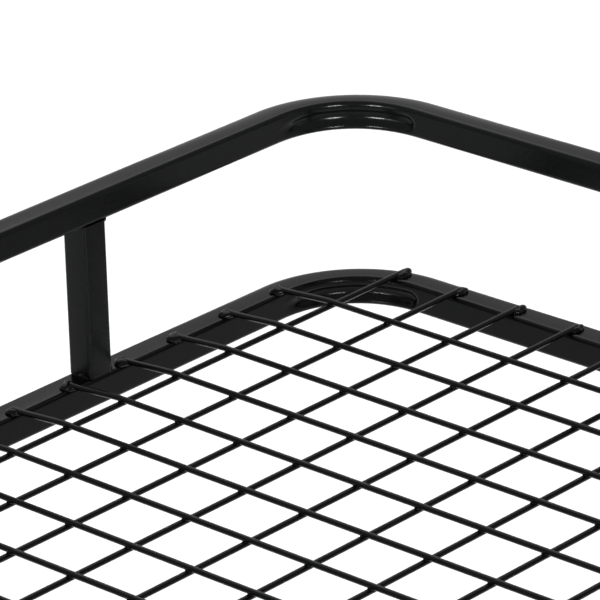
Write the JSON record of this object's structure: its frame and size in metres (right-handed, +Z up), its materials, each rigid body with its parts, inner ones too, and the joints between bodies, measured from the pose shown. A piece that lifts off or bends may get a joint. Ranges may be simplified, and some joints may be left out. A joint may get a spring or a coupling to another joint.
{
  "type": "hitch cargo carrier",
  "caption": "Shallow steel basket with a square-tube rim, rounded corners and a wire-mesh floor, on a folding receiver shank, for carrying cargo behind a vehicle.",
  "frame": {"origin": "centre of the hitch pin hole in the shank", "axes": "+X along the basket's length and the hitch pin, +Y away from the vehicle, +Z up"},
  "size_m": [1.524, 0.9943, 0.2474],
  "materials": {
    "black_powder_coat": "semi-gloss black powder coat with a fine speckle",
    "zinc_hardware": "bright zinc plate",
    "black_plastic": "moulded, lightly textured"
  },
  "bodies": {
    "shank_assembly": {"shank": "black_powder_coat", "shank_cap": "black_plastic", "cheek_plate_left": "black_powder_coat", "cheek_plate_right": "black_powder_coat", "pivot_bolt": "zinc_hardware", "pivot_washers": "zinc_hardware", "pivot_nut": "zinc_hardware"},
    "basket_assembly": {"spine": "black_powder_coat", "spine_cap": "black_plastic", "pivot_bush": "zinc_hardware", "spacer_washers": "zinc_hardware", "front_arm": "black_powder_coat", "rear_arm": "black_powder_coat", "arm_caps": "black_plastic", "u_bolts": "zinc_hardware", "u_bolt_washers": "zinc_hardware", "u_bolt_nuts": "zinc_hardware", "floor_rail_left": "black_powder_coat", "floor_rail_right": "black_powder_coat", "top_rail_left": "black_powder_coat", "top_rail_right": "black_powder_coat", "centre_tube_left": "black_powder_coat", "centre_tube_right": "black_powder_coat", "post_front_left": "black_powder_coat", "post_front_right": "black_powder_coat", "post_rear_left": "black_powder_coat", "post_rear_right": "black_powder_coat", "centre_post_front_left": "black_powder_coat", "centre_post_front_right": "black_powder_coat", "centre_post_rear_left": "black_powder_coat", "centre_post_rear_right": "black_powder_coat", "end_post_left": "black_powder_coat", "end_post_right": "black_powder_coat", "cross_wires_left": "black_powder_coat", "cross_wires_right": "black_powder_coat", "long_wires_left": "black_powder_coat", "long_wires_right": "black_powder_coat", "rail_bolts": "zinc_hardware", "rail_washers": "zinc_hardware", "rail_nuts": "zinc_hardware", "joint_bolts": "zinc_hardware", "joint_washers": "zinc_hardware", "joint_nuts": "zinc_hardware"},
    "support_pin": {"support_pin": "zinc_hardware"},
    "pull_ring": {"pull_ring": "zinc_hardware"}
  },
  "joints": [
    {"name": "fold", "type": "hinge", "parent": "shank_assembly", "child": "basket_assembly", "pos_m": [0, 0.15, 0.006], "axis": [1, 0, 0], "range_deg": [0, 90]},
    {"name": "support_pin_slide", "type": "slide", "parent": "shank_assembly", "child": "support_pin", "axis": [1, 0, 0], "range_m": [0, 0.085]},
    {"name": "ring_swing", "type": "hinge", "parent": "support_pin", "child": "pull_ring", "pos_m": [0.0467, 0.18, -0.02888], "axis": [0, -1, 0], "range_deg": [0, 90]}
  ]
}
